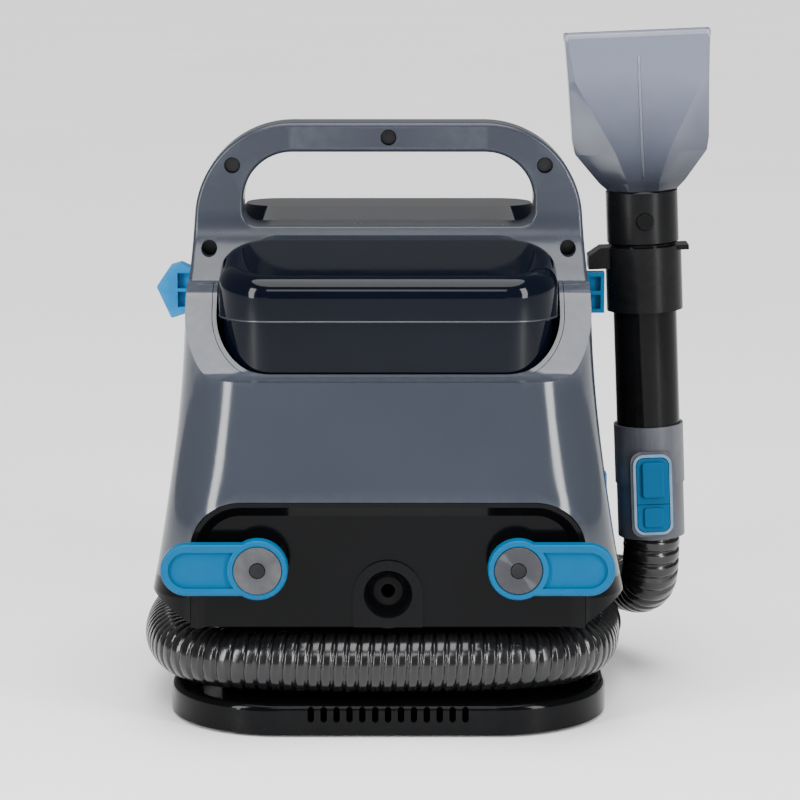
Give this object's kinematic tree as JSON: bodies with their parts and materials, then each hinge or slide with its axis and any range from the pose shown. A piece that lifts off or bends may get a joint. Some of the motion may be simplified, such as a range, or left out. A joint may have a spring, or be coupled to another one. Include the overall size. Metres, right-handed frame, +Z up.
{
  "type": "carpet cleaner machine",
  "caption": "Portable carpet spot cleaner with front and rear water tanks, a carrying handle, cord hooks, a hose wound round the waist and a hand tool in a side bracket.",
  "frame": {"origin": "on the floor under the middle of the foot", "axes": "+X to the machine's right seen from the front, +Y to the back, +Z up; the front faces -Y"},
  "size_m": [0.3479, 0.281, 0.4096],
  "materials": {
    "shell_grey": "gloss",
    "handle_grey": "gloss",
    "black_gloss": "gloss",
    "black_satin": "satin",
    "blue": "satin",
    "light_blue": "satin",
    "hub_grey": "satin",
    "smoke_tank": "gloss",
    "smoke_nozzle": "gloss",
    "cuff_grey": "satin",
    "hose_black": "satin",
    "rubber": "matte",
    "frame_grey": "satin",
    "black_steel": "blackened",
    "steel": "brushed",
    "motor_metal": "satin",
    "inner_plastic": "matte",
    "board_green": "matte"
  },
  "bodies": {
    "machine": {"foot_ring": "rubber", "base_plate": "black_satin", "base_foot": "black_gloss", "base_screws": "steel", "waist_core": "black_satin", "hose_port": "black_satin", "lower_tub": "black_gloss", "body_shell": "shell_grey", "front_well": "shell_grey", "rear_well": "shell_grey", "front_panel": "black_gloss", "cord_grommet": "rubber", "hook_caps": "hub_grey", "hook_screws": "black_steel", "handle_front": "handle_grey", "handle_rear": "handle_grey", "handle_screws": "black_steel", "motor_case": "motor_metal", "motor_cover": "motor_metal", "motor_bearings": "steel", "motor_stator": "steel", "motor_mount": "rubber", "fan_case": "inner_plastic", "air_duct": "inner_plastic", "inlet_pipe": "inner_plastic", "pump_body": "inner_plastic", "water_tube": "rubber", "control_board": "board_green", "switch_bezel": "blue", "switch_body": "inner_plastic", "wand_bracket": "blue", "spare_bracket": "light_blue", "wand_collar": "black_satin", "hose_cuff": "cuff_grey", "cuff_frame": "frame_grey", "hose": "hose_black"},
    "left_hook_body": {"left_hook": "blue"},
    "right_hook_body": {"right_hook": "blue"},
    "dirty_tank": {"recovery_tank": "smoke_tank"},
    "dirty_lid": {"recovery_lid": "smoke_tank", "lid_seal": "rubber", "float_cage": "inner_plastic"},
    "float": {"float_cup": "inner_plastic"},
    "clean_tank": {"water_tank": "smoke_tank", "water_lid": "smoke_tank"},
    "fill_cap": {"filler_cap": "black_satin", "cap_seal": "rubber"},
    "valve_stem": {"valve_plunger": "inner_plastic"},
    "rotor": {"motor_rotor": "steel", "fan_impeller": "inner_plastic"},
    "switch_rocker": {"rocker": "light_blue"},
    "wand": {"wand_tube": "black_gloss"},
    "nozzle_tool": {"nozzle_neck": "black_satin", "nozzle": "smoke_nozzle", "spray_tube": "inner_plastic"},
    "nozzle_button": {"neck_button": "black_satin"},
    "trigger": {"trigger_pad": "blue"},
    "cuff_lock": {"lock_button": "blue"}
  },
  "joints": [
    {"name": "left_hook_turn", "type": "hinge", "parent": "machine", "child": "left_hook_body", "pos_m": [-0.0756, -0.141, 0.1056], "axis": [0, 1, 0], "range_deg": [0, 180]},
    {"name": "right_hook_turn", "type": "hinge", "parent": "machine", "child": "right_hook_body", "pos_m": [0.0756, -0.141, 0.1056], "axis": [0, -1, 0], "range_deg": [0, 180]},
    {"name": "dirty_tank_lift", "type": "slide", "parent": "machine", "child": "dirty_tank", "axis": [0, 0, 1], "range_m": [0, 0.16]},
    {"name": "dirty_lid_lift", "type": "slide", "parent": "dirty_tank", "child": "dirty_lid", "axis": [0, 0, 1], "range_m": [0, 0.06]},
    {"name": "float_rise", "type": "slide", "parent": "dirty_lid", "child": "float", "axis": [0, 0, 1], "range_m": [0, 0.025]},
    {"name": "clean_tank_lift", "type": "slide", "parent": "machine", "child": "clean_tank", "axis": [0, 0, 1], "range_m": [0, 0.16]},
    {"name": "fill_cap_turn", "type": "hinge", "parent": "clean_tank", "child": "fill_cap", "pos_m": [0.04, 0.063, 0.12], "axis": [0, 0, 1], "range_deg": [0, 90]},
    {"name": "valve_stem_lift", "type": "slide", "parent": "fill_cap", "child": "valve_stem", "axis": [0, 0, 1], "range_m": [0, 0.003], "stiffness_N_per_m": 150},
    {"name": "motor_spin", "type": "hinge", "parent": "machine", "child": "rotor", "pos_m": [-0.034, 0, 0.04], "axis": [0, 0, 1], "continuous": true},
    {"name": "rocker_tilt", "type": "hinge", "parent": "machine", "child": "switch_rocker", "pos_m": [0.13284, 0.004, 0.11833], "axis": [0, -1, 0], "range_deg": [0, 12]},
    {"name": "wand_slide", "type": "slide", "parent": "machine", "child": "wand", "axis": [-0.0419, 0, 0.9991], "range_m": [0, 0.15]},
    {"name": "nozzle_pull", "type": "slide", "parent": "wand", "child": "nozzle_tool", "axis": [-0.0419, 0, 0.9991], "range_m": [0, 0.03]},
    {"name": "nozzle_button_press", "type": "slide", "parent": "nozzle_tool", "child": "nozzle_button", "axis": [0, 1, 0], "range_m": [0, 0.0012], "stiffness_N_per_m": 150},
    {"name": "trigger_press", "type": "slide", "parent": "machine", "child": "trigger", "axis": [0, 1, 0], "range_m": [0, 0.0015], "stiffness_N_per_m": 300},
    {"name": "cuff_lock_press", "type": "slide", "parent": "machine", "child": "cuff_lock", "axis": [0, 1, 0], "range_m": [0, 0.0015], "stiffness_N_per_m": 300}
  ]
}
